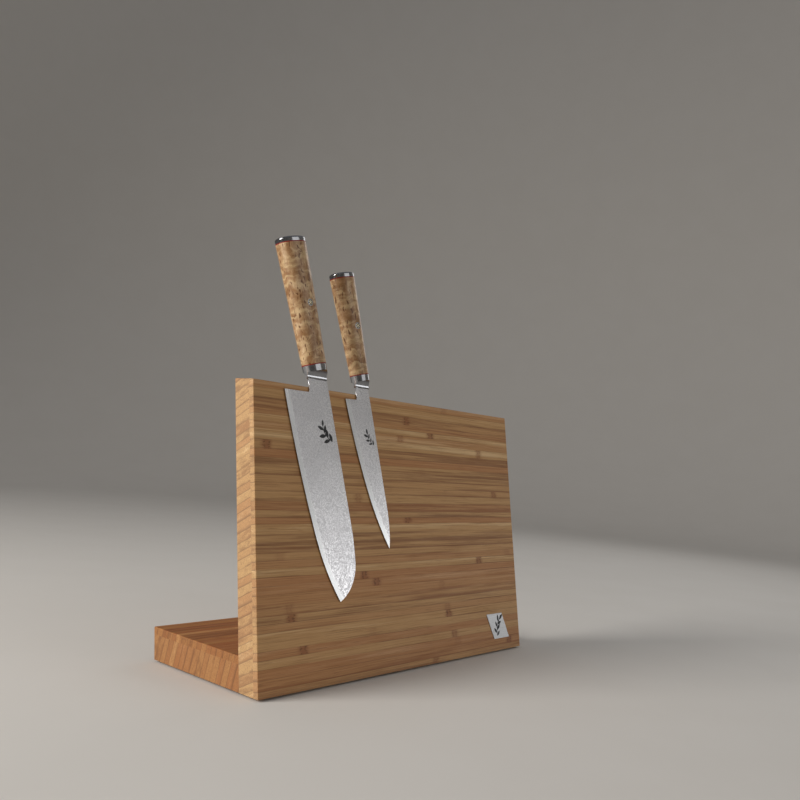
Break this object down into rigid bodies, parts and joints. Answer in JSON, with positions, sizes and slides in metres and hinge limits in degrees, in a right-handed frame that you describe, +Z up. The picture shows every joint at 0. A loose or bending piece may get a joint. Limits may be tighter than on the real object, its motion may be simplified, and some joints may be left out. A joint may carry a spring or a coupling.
{
  "type": "magnetic knife block with knives",
  "caption": "Leaning laminated wooden magnetic knife block on a flat base, holding a santoku and a slim petty knife.",
  "frame": {"origin": "middle of the block's footprint, on the surface that its feet stand on", "axes": "+Z up; -Y is the side that the magnetic face looks towards; +X along the block's width, to the right seen from the front"},
  "size_m": [0.35, 0.1364, 0.3606],
  "materials": {
    "bamboo": "oiled satin",
    "beech": "plain turned",
    "birch": "polished, figured",
    "damascus_steel": "fine patterned satin",
    "polished_steel": "polished",
    "satin_steel": "satin",
    "pin_rod_metal": "polished ends",
    "dark_resin": "polished",
    "red_fibre": "polished vulcanised fibre",
    "mild_steel": "plain rolled",
    "ferrite": "dull sintered",
    "black_rubber": "matt"
  },
  "bodies": {
    "block": {"upright_facing": "bamboo", "upright_core": "bamboo", "base_cover": "bamboo", "base_core": "bamboo", "joint_dowels": "beech", "badge_plate": "satin_steel", "keeper_strip_upper": "mild_steel", "magnet_row_upper": "ferrite", "keeper_strip_middle": "mild_steel", "magnet_row_middle": "ferrite", "keeper_strip_lower": "mild_steel", "magnet_row_lower": "ferrite", "rubber_foot_front_left": "black_rubber", "rubber_foot_front_right": "black_rubber", "rubber_foot_back_left": "black_rubber", "rubber_foot_back_right": "black_rubber"},
    "santoku": {"santoku_blade": "damascus_steel", "santoku_bolster": "polished_steel", "santoku_front_spacer": "red_fibre", "santoku_grip": "birch", "santoku_back_spacer": "red_fibre", "santoku_end_cap": "polished_steel", "santoku_pin_tube": "polished_steel", "santoku_pin_rods": "pin_rod_metal", "santoku_pin_resin": "dark_resin"},
    "petty": {"petty_blade": "damascus_steel", "petty_bolster": "polished_steel", "petty_front_spacer": "red_fibre", "petty_grip": "birch", "petty_back_spacer": "red_fibre", "petty_end_cap": "polished_steel", "petty_pin_tube": "polished_steel", "petty_pin_rods": "pin_rod_metal", "petty_pin_resin": "dark_resin"}
  },
  "joints": [
    {"name": "santoku_pull_off", "type": "slide", "parent": "block", "child": "santoku", "axis": [0, -0.9848, 0.1736], "range_m": [0, 0.12]},
    {"name": "petty_pull_off", "type": "slide", "parent": "block", "child": "petty", "axis": [0, -0.9848, 0.1736], "range_m": [0, 0.12]}
  ]
}
